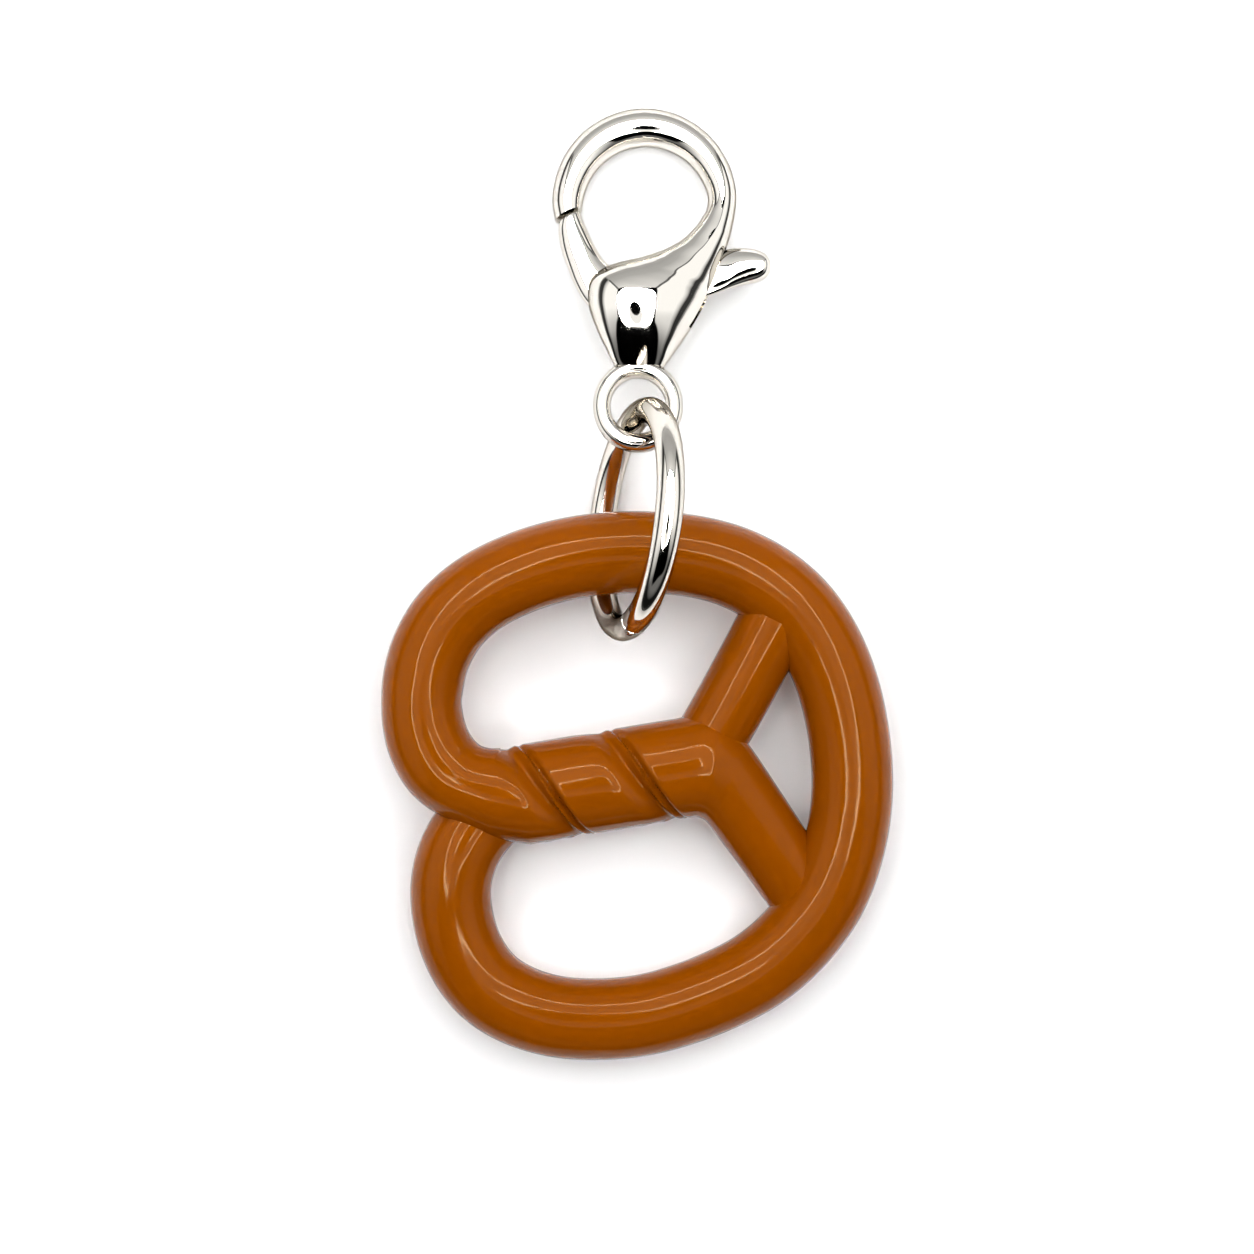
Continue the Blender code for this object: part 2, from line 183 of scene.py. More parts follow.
# Outlines of the slots that the gate's arm and lever move in
GATE_SLOT = [
    (-8.00, 6.74), (-3.46, 6.74), (-2.70, 5.97), (-1.98, 5.54), (-1.25, 5.36), (1.20, 5.29), (1.20, 8.84),
    (0.20, 8.74), (-0.40, 9.10), (-0.40, 12.05), (-8.00, 12.05),
]
LEVER_SLOT = [
    (0.80, 5.30), (4.30, 5.14), (9.50, 5.14), (9.50, 10.86), (4.62, 10.86), (3.30, 9.78), (0.80, 8.80),
]
# Gate arm from its tip down to the pin: inner edge, outer edge and half thickness
ARM_STATIONS = [
    (-3.74, 13.06, -5.04, 12.46, 0.70), (-3.70, 12.98, -5.10, 12.36, 0.80),
    (-3.60, 12.66, -5.14, 12.08, 0.82), (-3.40, 12.15, -5.14, 11.60, 0.80),
    (-3.00, 11.25, -4.96, 10.60, 0.76), (-2.56, 10.36, -4.60, 9.45, 0.72),
    (-2.10, 9.70, -4.14, 8.25, 0.72), (-1.20, 8.90, -3.50, 7.10, 0.72),
    (-0.20, 8.10, -2.60, 6.20, 0.72), (0.30, 7.20, -1.60, 5.75, 0.62),
    (0.20, 6.40, -0.70, 5.80, 0.50),
]
# Thumb lever from the pin out through the body: lower edge, upper edge and half thickness
LEVER_STATIONS = [
    (-0.60, 5.90, -1.20, 7.60, 0.30), (0.60, 6.10, -0.20, 8.20, 0.36), (2.20, 6.62, 1.40, 8.50, 0.36),
    (3.60, 7.10, 3.00, 9.20, 0.36), (4.60, 7.42, 4.40, 10.00, 0.37), (5.40, 7.70, 5.40, 10.46, 0.48),
    (6.20, 7.98, 6.40, 10.62, 0.68), (7.00, 8.20, 7.20, 10.60, 0.80), (7.70, 8.36, 7.85, 10.44, 0.84),
    (8.20, 8.60, 8.28, 10.16, 0.76), (8.52, 8.96, 8.55, 9.78, 0.44),
]
ARM_POWER = 2.1
LEVER_POWER = 2.0

# Sizes of the surface patterns in millimetres
STREAK = 4.17
POLISH = 2.0
RIPPLE = 3.03
CLOUD = 1.43
WAVE = 2.38
# Edges sharper than this many degrees stay sharp, and vertices nearer than this many millimetres are merged
CREASE = 40.0
DOUBLES = 1e-5

# The tent's cloths, as stops of a direction's Z and its grey: the sides are white down to a dark gap over
# the table, and the back greys downwards
SIDE_CLOTH = [(0.0, 0.45), (0.03, 0.40), (0.07, 0.05), (0.23, 0.04), (0.30, 0.62), (0.40, 1.12)]
BACK_CLOTH = [(0.0, 0.52), (0.15, 0.42), (0.40, 0.48), (0.62, 0.74), (0.80, 1.0)]
# A side cloth begins where a direction's X is this share of its Y, with a soft change
CORNER_SLOPE = 0.8
CORNER_SOFT = 0.05
# The cloths' dark seams: half their width, the Z that they end at and how much they darken
CLOTH_SEAM_HALF = 0.04
CLOTH_SEAM_LOW = 0.28
CLOTH_SEAM_DARK = 0.85
# The open front darkens from one Y to another, down to this share
FRONT_FROM = -0.08
FRONT_TO = -0.60
FRONT_SHARE = 0.14
# A black card over the front of the table, in X and Y, with its squareness and the softness of its edge
CARD_AT = (0.0, -0.50)
CARD_SIZE = (0.60, 0.31)
CARD_POWER = 3.0
CARD_SOFT = 0.04
# The window's length against its width, how far its sheet reaches past it, and the sheet's squareness
WINDOW_LONG = 1.05
WINDOW_SPARE = 1.05
SHEET_POWER = 7.0
# The lens hole's middle in metres and its length against its width
LENS_AT = (0.0, 0.006)
LENS_LONG = 1.35
# The lamps next to the card are off: the near part of the inner ones and the middle of the near rim
LAMPS_NEAR = 0.002
LAMPS_OFF_HALF = 0.024
# How much brighter the lamps get with each metre away from the card, and the softness of the duller cloth
LAMPS_GAIN = 7.0
CLOTH_SOFT = 0.02
FLOOR_HALF = 1.5


def to_linear(code):
    """Linear colour from an sRGB hex code."""
    channels = [int(code.lstrip("#")[i:i + 2], 16) / 255 for i in (0, 2, 4)]
    return tuple(c / 12.92 if c <= 0.04045 else ((c + 0.055) / 1.055) ** 2.4 for c in channels) + (1.0,)


def add_node(tree, kind, settings=None, **sockets):
    """Add a node; a socket takes a value, another node's output, or a node for its first output."""
    node = tree.nodes.new(kind)
    for name, value in (settings or {}).items():
        setattr(node, name, value)
    for name, value in sockets.items():
        socket = node.inputs[int(name[1:])] if name[0] == "_" else node.inputs[name.replace("_", " ")]
        if isinstance(value, bpy.types.Node):
            value = value.outputs[0]
        if isinstance(value, bpy.types.NodeSocket):
            tree.links.new(value, socket)
        else:
            socket.default_value = value
    return node


def reach(tree, parts, centre, radii, power):
    """How far out a point lies, as a share of a rounded outline."""
    total = 0.0
    for axis, middle, radius in zip("XY", centre, radii):
        value = parts.outputs[axis]
        steps = (("SUBTRACT", middle), ("ABSOLUTE", 0.0), ("DIVIDE", radius), ("POWER", power),
                 ("ADD", total))
        for operation, number in steps:
            value = add_node(tree, "ShaderNodeMath", {"operation": operation}, _0=value, _1=number)
        total = value
    return add_node(tree, "ShaderNodeMath", {"operation": "POWER"}, _0=total, _1=1 / power)


def band(tree, value, low, high):
    """1 where the value lies between the two, and 0 elsewhere."""
    above = add_node(tree, "ShaderNodeMath", {"operation": "GREATER_THAN"}, _0=value, _1=low)
    below = add_node(tree, "ShaderNodeMath", {"operation": "LESS_THAN"}, _0=value, _1=high)
    return add_node(tree, "ShaderNodeMath", {"operation": "MULTIPLY"}, _0=above, _1=below)


def new_material(name):
    """A node material, its tree and its shader."""
    made = bpy.data.materials.new(name)
    made.use_nodes = True
    return made, made.node_tree, made.node_tree.nodes["Principled BSDF"]


def leaned(origin, degrees):
    """Where a link lies: its origin, with its far end tipped up or down."""
    return Matrix.Translation(Vector(origin) * MM) @ Matrix.Rotation(math.radians(degrees), 4, "X")


def smooth_path(points, per_span):
    """Catmull-Rom points through the given rows, ends kept."""
    rows = np.array(points, dtype=float)
    padded = np.vstack([2 * rows[0] - rows[1], rows, 2 * rows[-1] - rows[-2]])
    out = []
    for i in range(len(rows) - 1):
        p0, p1, p2, p3 = padded[i:i + 4]
        for step in range(per_span):
            t = step / per_span
            out.append(0.5 * (2 * p1 + (p2 - p0) * t + (2 * p0 - 5 * p1 + 4 * p2 - p3) * t ** 2
                              + (3 * p1 - p0 - 3 * p2 + p3) * t ** 3))
    out.append(rows[-1])
    return np.array(out)


def even_path(rows, gap):
    """The same run of rows at an even spacing, in millimetres."""
    steps = np.linalg.norm(np.diff(rows[:, :2], axis=0), axis=1)
    along = np.concatenate([[0.0], np.cumsum(steps)])
    wanted = np.linspace(0.0, along[-1], max(2, int(round(along[-1] / gap)) + 1))
    return np.column_stack([np.interp(wanted, along, rows[:, k]) for k in range(rows.shape[1])])


def resampled(rows, count):
    """The same run of rows with another count of them, spread evenly over the list."""
    wanted = np.linspace(0, len(rows) - 1, count)
    places = np.arange(len(rows))
    return np.column_stack([np.interp(wanted, places, rows[:, k]) for k in range(rows.shape[1])])


def blurred(rows, passes):
    """Rows averaged with their neighbours, to take kinks out of a run; ends kept."""
    out = rows.copy()
    for _ in range(passes):
        out[1:-1] = 0.25 * out[:-2] + 0.5 * out[1:-1] + 0.25 * out[2:]
    return out


def centre_rows(path):
    """x, y, z, radius rows made into centre, sideways half width and half height."""
    ahead = np.gradient(path[:, :2], axis=0)
    ahead /= np.linalg.norm(ahead, axis=1)[:, None]
    side = np.column_stack([-ahead[:, 1], ahead[:, 0]]) * path[:, 3:4]
    return np.column_stack([path[:, :3], side, path[:, 3]])


def rail_rows(left, right, z, height):
    """Centre, sideways half width and half height between two edges."""
    middle = (left + right) / 2
    side = (left - right) / 2
    return np.column_stack([middle, z, side, height])


def sweep(bm, rows, sides, power=None, shape=None):
    """Rings along the rows, bridged into a closed tube. shape may move a ring's vertices."""
    before = None
    first = None
    for index, (x, y, z, side_x, side_y, height) in enumerate(rows):
        width = Vector((side_x, side_y, 0.0))
        up = Vector((0.0, 0.0, height))
        ahead = width.cross(up).normalized()
        matrix = Matrix((width, up, ahead)).transposed().to_4x4()
        matrix.translation = Vector((x, y, z))
        made = bmesh.ops.create_circle(bm, segments=sides, radius=1.0, matrix=matrix)["verts"]
        if power is not None:
            square_up(made, matrix, power[index])
        if shape is not None:
            shape(index, made)
        edges = list({edge for vert in made for edge in vert.link_edges})
        if before is None:
            first = edges
        else:
            bmesh.ops.bridge_loops(bm, edges=before + edges)
        before = edges
    bmesh.ops.contextual_create(bm, geom=first)
    bmesh.ops.contextual_create(bm, geom=before)


def square_up(verts, matrix, power):
    """Turn a ring's ellipse into a squarer section."""
    back = matrix.inverted()
    for vert in verts:
        local = back @ vert.co
        local.x = math.copysign(abs(local.x) ** (2 / power), local.x)
        local.y = math.copysign(abs(local.y) ** (2 / power), local.y)
        vert.co = matrix @ local


def add_object(name, bm, material):
    """A new object from a bmesh and a material."""
    mesh = bpy.data.meshes.new(name)
    bm.to_mesh(mesh)
    bm.free()
    mesh.materials.append(material)
    made = bpy.data.objects.new(name, mesh)
    bpy.context.scene.collection.objects.link(made)
    return made


def shade(mesh):
    """Smooth shading that keeps real edges sharp."""
    mesh.shade_smooth()
    mesh.set_sharp_from_angle(angle=math.radians(CREASE))


def finish_mesh(name, bm, home, material):
    """Close the mesh, point it outwards, put its place in it and add it."""
    bmesh.ops.remove_doubles(bm, verts=bm.verts, dist=DOUBLES)
    bmesh.ops.recalc_face_normals(bm, faces=bm.faces)
    bmesh.ops.transform(bm, matrix=home @ Matrix.Scale(MM, 4), verts=bm.verts)
    made = add_object(name, bm, material)
    shade(made.data)
    return made


def groove_depth(run, angle, settings):
    """How deep the twist is pressed in at a distance along it and an angle round it."""
    turned = angle % (2 * math.pi)
    through = turned % math.pi / math.pi
    if turned < math.pi:
        place = GROOVE_RUN * through
    else:
        place = GROOVE_RUN + (GROOVE_STEP - GROOVE_RUN) * through
    front = max(0.0, math.sin(turned))
    depth = 0.0
    for start in (GROOVE_AT[0] - GROOVE_STEP, *GROOVE_AT):
        gap = run - (start + place)
        if gap < VALLEY_AT:
            valley = math.exp(-((VALLEY_AT - gap) / VALLEY_LEFT) ** 1.5)
        else:
            valley = math.exp(-((gap - VALLEY_AT) / VALLEY_RIGHT) ** 2)
        second = SECOND_SHARE * math.exp(-((gap - SECOND_AT) / SECOND_WIDTH) ** 2)
        depth = max(depth, valley, second)
    fade = min(1.0, max(0.0, (run - FADE_FROM) / FADE_IN)) * min(1.0, max(0.0, (TWIST_TO - run) / FADE_OUT))
    return (BACK_SHARE + (1 - BACK_SHARE) * front) * settings.groove_depth / MM * depth * fade


def twist_axes():
    """The twist's middle, the way along it and the way across it."""
    slope = math.radians(TWIST_SLOPE)
    along = Vector((math.cos(slope), math.sin(slope), 0.0))
    across = Vector((-along.y, along.x, 0.0))
    return Vector((TWIST_MIDDLE[0], TWIST_MIDDLE[1], 0.0)), along, across


def press_twist(verts, settings):
    """Press the grooves into a ring of the twist, with the mould's seam left standing."""
    middle, along, across = twist_axes()
    for vert in verts:
        offset = vert.co - middle
        run = offset.dot(along)
        high = offset.dot(across)
        reached = math.hypot(high, vert.co.z)
        if not PRESS_FROM < run < PRESS_TO or reached < PRESS_CORE:
            continue
        angle = math.atan2(vert.co.z, high)
        depth = groove_depth(run, angle, settings)
        height = SEAM_HEIGHT + SEAM_WAVE * math.sin(run * SEAM_WAVES)
        seam = math.exp(-((abs(angle) - math.pi) / SEAM_ANGLE) ** 2) * height
        outward = (across * high + Vector((0.0, 0.0, vert.co.z))) / reached
        vert.co -= outward * (depth - seam)


def bar_rows(runs, settings):
    """Round rows on the twist's middle line, at distances along it."""
    middle, along, across = twist_axes()
    radius = settings.twist_radius / MM
    side = across * radius
    return np.array([(*(middle + along * run)[:2], 0.0, *side[:2], radius) for run in runs], dtype=float)


def lead_rows(settings):
    """Rows of the loop from its hidden end, with the bend that takes it into the twist."""
    radius = settings.tube_radius / MM
    loop = [(x, y, 0.0, radius) for x, y in reversed(LOOP)]
    lead = centre_rows(even_path(smooth_path(DIVE + loop[:-1], FINE_SPAN), LOOP_GAP))
    bend = smooth_path(BEND, SPAN)
    bend = rail_rows(bend[:, 0:2], bend[:, 2:4], bend[:, 4], bend[:, 5])
    return blurred(np.vstack([lead, bend, bar_rows([TWIST_FROM], settings)]), BEND_BLUR)


def elbow_rows(settings):
    """Rows round the elbow and down the lower arm, between their two edges."""
    outer = smooth_path(ELBOW_OUTER, FINE_SPAN)
    inner = smooth_path(ELBOW_INNER, FINE_SPAN)
    count = len(even_path(outer, ELBOW_GAP))
    share = np.linspace(0.0, 1.0, count)
    height = np.interp(share, *zip((0.0, settings.twist_radius / MM), *ELBOW_HEIGHT))
    lift = np.interp(share, *zip(*ELBOW_LIFT))
    return rail_rows(resampled(outer, count), resampled(inner, count), lift, height)


def pretzel_rows(settings):
    """Rows of the long strand, from its hidden end under the twist to the end of the lower arm."""
    lead = lead_rows(settings)
    bar = bar_rows(np.arange(TWIST_FROM + BAR_GAP, TWIST_TO, BAR_GAP), settings)
    tail = blurred(np.vstack([bar[-ELBOW_LEAD:], elbow_rows(settings)[1:]]), ELBOW_BLUR)
    return np.vstack([lead, bar[:-ELBOW_LEAD], tail]), len(lead)


class PretzelSettings(PropertyGroup):
    tube_radius: FloatProperty(name="Tube Radius", description="Radius of the pretzel's loop",
                               default=0.00262, unit="LENGTH")
    twist_radius: FloatProperty(name="Twist Radius", description="Radius of the twisted middle",
                                default=0.00322, unit="LENGTH")
    groove_depth: FloatProperty(name="Groove Depth", description="Depth of the grooves between the strands",
                                default=0.00095, unit="LENGTH")
    sides: IntProperty(name="Sides", description="Vertices round the tube", default=80, min=16)
    colour: StringProperty(name="Colour", description="sRGB hex of the plastic", default="#834000")
    deep_colour: StringProperty(name="Deep Colour", description="sRGB hex where the plastic is densest",
                                default="#7B3B00")


class RingSettings(PropertyGroup):
    radius: FloatProperty(name="Radius", description="Middle radius of the jump ring",
                          default=0.00686, unit="LENGTH")
    wire: FloatProperty(name="Wire Radius", description="Radius of the ring's wire",
                        default=0.00085, unit="LENGTH")
    cut_at: FloatProperty(name="Cut At", description="Where the wire's two ends meet, in degrees",
                          default=158.0)
    colour: StringProperty(name="Colour", description="sRGB hex of the nickel", default="#F0EBE2")


class ClaspSettings(PropertyGroup):
    eye_radius: FloatProperty(name="Eye Radius", description="Middle radius of the eye",
                              default=0.00231, unit="LENGTH")
    eye_wire: FloatProperty(name="Eye Wire", description="Half width of the eye's rim",
                            default=0.00056, unit="LENGTH")
    eye_thick: FloatProperty(name="Eye Thickness", description="Half thickness of the eye",
                             default=0.00069, unit="LENGTH")
    slot_half: FloatProperty(name="Gate Slot Half", description="Half width of the gate's slot",
                             default=0.00076, unit="LENGTH")
    lever_slot_half: FloatProperty(name="Lever Slot Half", description="Half width of the lever's slot",
                                   default=0.00041, unit="LENGTH")
    sides: IntProperty(name="Sides", description="Vertices round the casting", default=56, min=16)
    colour: StringProperty(name="Colour", description="sRGB hex of the nickel", default="#F2EEE6")


class StageSettings(PropertyGroup):
    floor_colour: StringProperty(name="Floor Colour", description="sRGB hex of the floor",
                                 default="#F4F4F4")
    sky: FloatProperty(name="Tent Strength", description="Brightness of the tent's cloth", default=1.0)
    window: FloatProperty(name="Window Strength", description="Brightness of the window", default=1.95)
    lamps: FloatProperty(name="Lamp Strength", description="Brightness of the tube lamps", default=28.0)
    lamp_width: FloatProperty(name="Lamp Width", description="Width of the tube lamps",
                              default=0.005, unit="LENGTH")
    window_half: FloatProperty(name="Window Half Size", description="Half size of the window",
                               default=0.1, unit="LENGTH")
    window_square: FloatProperty(name="Window Squareness", description="Higher is squarer", default=2.5)
    window_y: FloatProperty(name="Window Y", description="Middle of the window",
                            default=0.041, unit="LENGTH")
    window_z: FloatProperty(name="Window Height", description="Window above the floor",
                            default=0.156, unit="LENGTH")
    lens_radius: FloatProperty(name="Lens Radius", description="Half width of the lens hole",
                               default=0.024, unit="LENGTH")
    hole_y: FloatProperty(name="Hole Y", description="Middle of the duller cloth round the lens",
                          default=-0.012, unit="LENGTH")
    hole_x_radius: FloatProperty(name="Hole Half Width", description="Half width of that cloth",
                                 default=0.029, unit="LENGTH")
    hole_y_radius: FloatProperty(name="Hole Half Height", description="Half height of that cloth",
                                 default=0.044, unit="LENGTH")
    camera_height: FloatProperty(name="Camera Height", description="Camera above the floor",
                                 default=0.15424, unit="LENGTH")
    camera_x: FloatProperty(name="Camera X", description="Camera place across",
                            default=-0.000641, unit="LENGTH")
    camera_y: FloatProperty(name="Camera Y", description="Camera place along",
                            default=-0.002963, unit="LENGTH")
    lens: FloatProperty(name="Lens", description="Focal length on a 36 mm sensor", default=67.18)


def glossy_plastic(settings):
    """Injection moulded PVC or ABS, polished by the mould: a dense caramel colour under a clear gloss."""
    made, tree, shader = new_material("moulded_caramel_plastic")
    place = add_node(tree, "ShaderNodeTexCoord").outputs["Object"]
    # Pigment streaks from the flow of the plastic
    streaks = add_node(tree, "ShaderNodeTexNoise", Vector=place, Scale=1 / (STREAK * MM), Detail=3.0)
    mix = add_node(tree, "ShaderNodeMix", {"data_type": "RGBA"}, _0=streaks.outputs["Fac"],
                   _6=to_linear(settings.deep_colour), _7=to_linear(settings.colour))
    tree.links.new(mix.outputs[2], shader.inputs["Base Color"])
    # The mould's polish varies a little
    polish = add_node(tree, "ShaderNodeTexNoise", Vector=place, Scale=1 / (POLISH * MM), Detail=2.0)
    gloss = add_node(tree, "ShaderNodeMapRange", Value=polish.outputs["Fac"], To_Min=0.07, To_Max=0.11)
    tree.links.new(gloss.outputs[0], shader.inputs["Roughness"])
    # Sink and ripple of the skin bend the highlights slightly
    ripple = add_node(tree, "ShaderNodeTexNoise", Vector=place, Scale=1 / (RIPPLE * MM), Detail=1.0)
    bump = add_node(tree, "ShaderNodeBump", Height=ripple.outputs["Fac"], Strength=0.06, Distance=0.0004)
    tree.links.new(bump.outputs["Normal"], shader.inputs["Normal"])
    shader.inputs["IOR"].default_value = 1.50
    # The pigment at the skin warms and dims what the clear gloss reflects
    shader.inputs["Specular IOR Level"].default_value = 0.20
    shader.inputs["Specular Tint"].default_value = to_linear("#FFE2AE")
    return made


def nickel_plate(name, colour, low, high, wave):
    """Bright nickel over a polished casting or wire: a warm mirror with faint waves and wear."""
    made, tree, shader = new_material(name)
    place = add_node(tree, "ShaderNodeTexCoord").outputs["Object"]
    cloudy = add_node(tree, "ShaderNodeTexNoise", Vector=place, Scale=1 / (CLOUD * MM), Detail=3.0)
    gloss = add_node(tree, "ShaderNodeMapRange", Value=cloudy.outputs["Fac"], To_Min=low, To_Max=high)
    tree.links.new(gloss.outputs[0], shader.inputs["Roughness"])
    waves = add_node(tree, "ShaderNodeTexNoise", Vector=place, Scale=1 / (WAVE * MM), Detail=1.0)
    bump = add_node(tree, "ShaderNodeBump", Height=waves.outputs["Fac"], Strength=wave, Distance=0.0003)
    tree.links.new(bump.outputs["Normal"], shader.inputs["Normal"])
    shader.inputs["Base Color"].default_value = to_linear(colour)
    shader.inputs["Metallic"].default_value = 1.0
    # Painted shade: a dark edge tint makes the nickel reflect less, and warmer, where it is seen edge on,
    # in place of the floor's shade that the edges reflect
    shader.inputs["Specular Tint"].default_value = to_linear("#5A5044")
    return made


def boolean(target, other, operation):
    """Join another piece to the target, or cut it out."""
    step = target.modifiers.new(operation.lower(), "BOOLEAN")
    step.operation = operation
    step.solver = "EXACT"
    step.object = other


def apply_modifiers(item):
    """Make the modifiers real and drop the pieces that they used."""
    bpy.context.view_layer.update()
    evaluated = item.evaluated_get(bpy.context.evaluated_depsgraph_get())
    mesh = bpy.data.meshes.new_from_object(evaluated)
    used = [step.object for step in item.modifiers if step.type == "BOOLEAN"]
    item.modifiers.clear()
    item.data = mesh
    shade(mesh)
    for other in used:
        bpy.data.objects.remove(other, do_unlink=True)


class MakePretzel(Operator):
    """Sweep the long strand, press its twist and add the upper arm."""
    bl_idname = "pretzel_charm.make_pretzel"
    bl_label = "Make Pretzel"

    def execute(self, context):
        settings = context.scene.pretzel_settings
        plastic = glossy_plastic(settings)
        home = leaned(PRETZEL_ORIGIN, PRETZEL_LEAN)
        rows, twist_start = pretzel_rows(settings)
        bm = bmesh.new()

        def press(index, verts):
            if index >= twist_start - PRESS_LEAD:
                press_twist(verts, settings)

        sweep(bm, rows, settings.sides, shape=press)
        arm = centre_rows(even_path(smooth_path(UPPER_ARM, SPAN), ARM_GAP))
        sweep(bm, arm, settings.sides)
        piece = finish_mesh("pretzel_body", bm, home, plastic)
        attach(piece, "charm")
        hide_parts("pretzel")
        return {"FINISHED"}


class MakeRing(Operator):
    """Bend the jump ring from round wire, with its two cut ends nearly touching."""
    bl_idname = "pretzel_charm.make_ring"
    bl_label = "Make Ring"

    def execute(self, context):
        settings = context.scene.ring_settings
        metal = nickel_plate("nickel_plated_wire", settings.colour, low=0.03, high=0.07, wave=0.012)
        long_way = Vector(RING_LONG).normalized()
        up = Vector(RING_UP)
        up = (up - long_way * up.dot(long_way)).normalized()
        turn = Matrix((long_way, up, long_way.cross(up))).transposed().to_4x4()
        home = Matrix.Translation(Vector(RING_CENTRE) * MM) @ turn
        radius = settings.radius / MM
        wire = settings.wire / MM
        gap = math.degrees(CUT_GAP / radius)
        start = math.radians(settings.cut_at + gap / 2)
        turned = math.radians(360.0 - gap)
        angles = [start + turned * i / RING_STEPS for i in range(RING_STEPS + 1)]
        # The two cut ends are a little smaller than the wire, as if their edges were rounded
        angles[1] = angles[0] + CUT_EDGE / radius
        angles[-2] = angles[-1] - CUT_EDGE / radius
        sizes = [CUT_SHARE] + [1.0] * (RING_STEPS - 1) + [CUT_SHARE]
        rows = []
        for angle, size in zip(angles, sizes):
            out = Vector((math.cos(angle), math.sin(angle), 0.0))
            rows.append((*(out * radius), *(out * wire * size)[:2], wire * size))
        bm = bmesh.new()
        sweep(bm, rows, WIRE_SIDES)
        piece = finish_mesh("jump_ring", bm, home, metal)
        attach(piece, "link")
        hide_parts("ring")
        return {"FINISHED"}


def plate(name, outline, half, home, material):
    """A flat outline given thickness both ways, in the clasp's plane."""
    bm = bmesh.new()
    ring = [bm.verts.new((x, y, -half)) for x, y in outline]
    face = bmesh.ops.contextual_create(bm, geom=ring)["faces"]
    grown = bmesh.ops.extrude_face_region(bm, geom=face)["geom"]
    top = [item for item in grown if isinstance(item, bmesh.types.BMVert)]
    bmesh.ops.translate(bm, verts=top, vec=(0.0, 0.0, 2 * half))
    return finish_mesh(name, bm, home, material)


def make_eye(settings, home, material):
    """The eye at the clasp's foot: a squared round section spun into a rim."""
    bm = bmesh.new()
    radius = settings.eye_radius / MM
    rim = settings.eye_wire / MM
    upright = Matrix.Rotation(math.pi / 2, 4, "X")
    section = Matrix.Translation((radius, 0.0, 0.0)) @ upright @ Matrix.Scale(rim, 4)
    made = bmesh.ops.create_circle(bm, segments=36, radius=1.0, matrix=section)["verts"]
    square_up(made, section, EYE_POWER)
    edges = list({edge for vert in made for edge in vert.link_edges})
    bmesh.ops.spin(bm, geom=made + edges, cent=(0, 0, 0), axis=(0, 0, 1), angle=2 * math.pi, steps=120,
                   use_merge=True)
    bmesh.ops.scale(bm, vec=(1.0, EYE_LONG, settings.eye_thick / settings.eye_wire), verts=bm.verts)
    return finish_mesh("eye_rim", bm, home, material)


class MakeClasp(Operator):
    """Cast the hook, domed body and eye as one piece, slotted for the gate."""
    bl_idname = "pretzel_charm.make_clasp"
    bl_label = "Make Clasp"

    def execute(self, context):
        settings = context.scene.clasp_settings
        metal = nickel_plate("nickel_plated_casting", settings.colour, low=0.03, high=0.07, wave=0.015)
        home = leaned(CLASP_ORIGIN, CLASP_LEAN)
        path = smooth_path(CLASP_STATIONS, CLASP_SPAN)
        front, back = path[:, 4], path[:, 5]
        rows = rail_rows(path[:, 0:2], path[:, 2:4], np.zeros(len(path)), back)
        bm = bmesh.new()

        def raise_front(index, verts):
            share = min(1.0, max(0.0, (CREST_FROM - rows[index][1]) / CREST_FADE))
            for vert in verts:
                if vert.co.z > 0:
                    vert.co.z *= front[index] / back[index]
                    vert.co.x -= CREST_LEAN * share * vert.co.z

        sweep(bm, rows, settings.sides, power=path[:, 6], shape=raise_front)
        piece = finish_mesh("clasp_casting", bm, home, metal)
        boolean(piece, make_eye(settings, home, metal), "UNION")
        for name, outline, half in (("gate_slot", GATE_SLOT, settings.slot_half / MM),
                                    ("lever_slot", LEVER_SLOT, settings.lever_slot_half / MM)):
            boolean(piece, plate(name, outline, half, home, metal), "DIFFERENCE")
        apply_modifiers(piece)
        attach(piece, "clasp")
        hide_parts("clasp_body")
        return {"FINISHED"}


class MakeGate(Operator):
    """Cast the gate's arm and thumb lever in one, and finish the pin that they turn on."""
    bl_idname = "pretzel_charm.make_gate"
    bl_label = "Make Gate"

    def execute(self, context):
        settings = context.scene.clasp_settings
        metal = nickel_plate("nickel_plated_gate", settings.colour, low=0.03, high=0.07, wave=0.015)
        home = leaned(CLASP_ORIGIN, CLASP_LEAN)
        bm = bmesh.new()
        for stations, power in ((ARM_STATIONS, ARM_POWER), (LEVER_STATIONS, LEVER_POWER)):
            path = smooth_path(stations, SPAN)
            rows = rail_rows(path[:, 0:2], path[:, 2:4], np.zeros(len(path)), path[:, 4])
            sweep(bm, rows, WIRE_SIDES, power=np.full(len(path), power))
        piece = finish_mesh("clasp_gate_arm", bm, home, metal)
        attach(piece, "gate")
        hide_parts("clasp_gate")
        pin_metal = nickel_plate("nickel_plated_pin", settings.colour, low=0.12, high=0.20, wave=0.03)
        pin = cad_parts["clasp_pin"]
        pin.data.materials.clear()
        pin.data.materials.append(pin_metal)
        return {"FINISHED"}


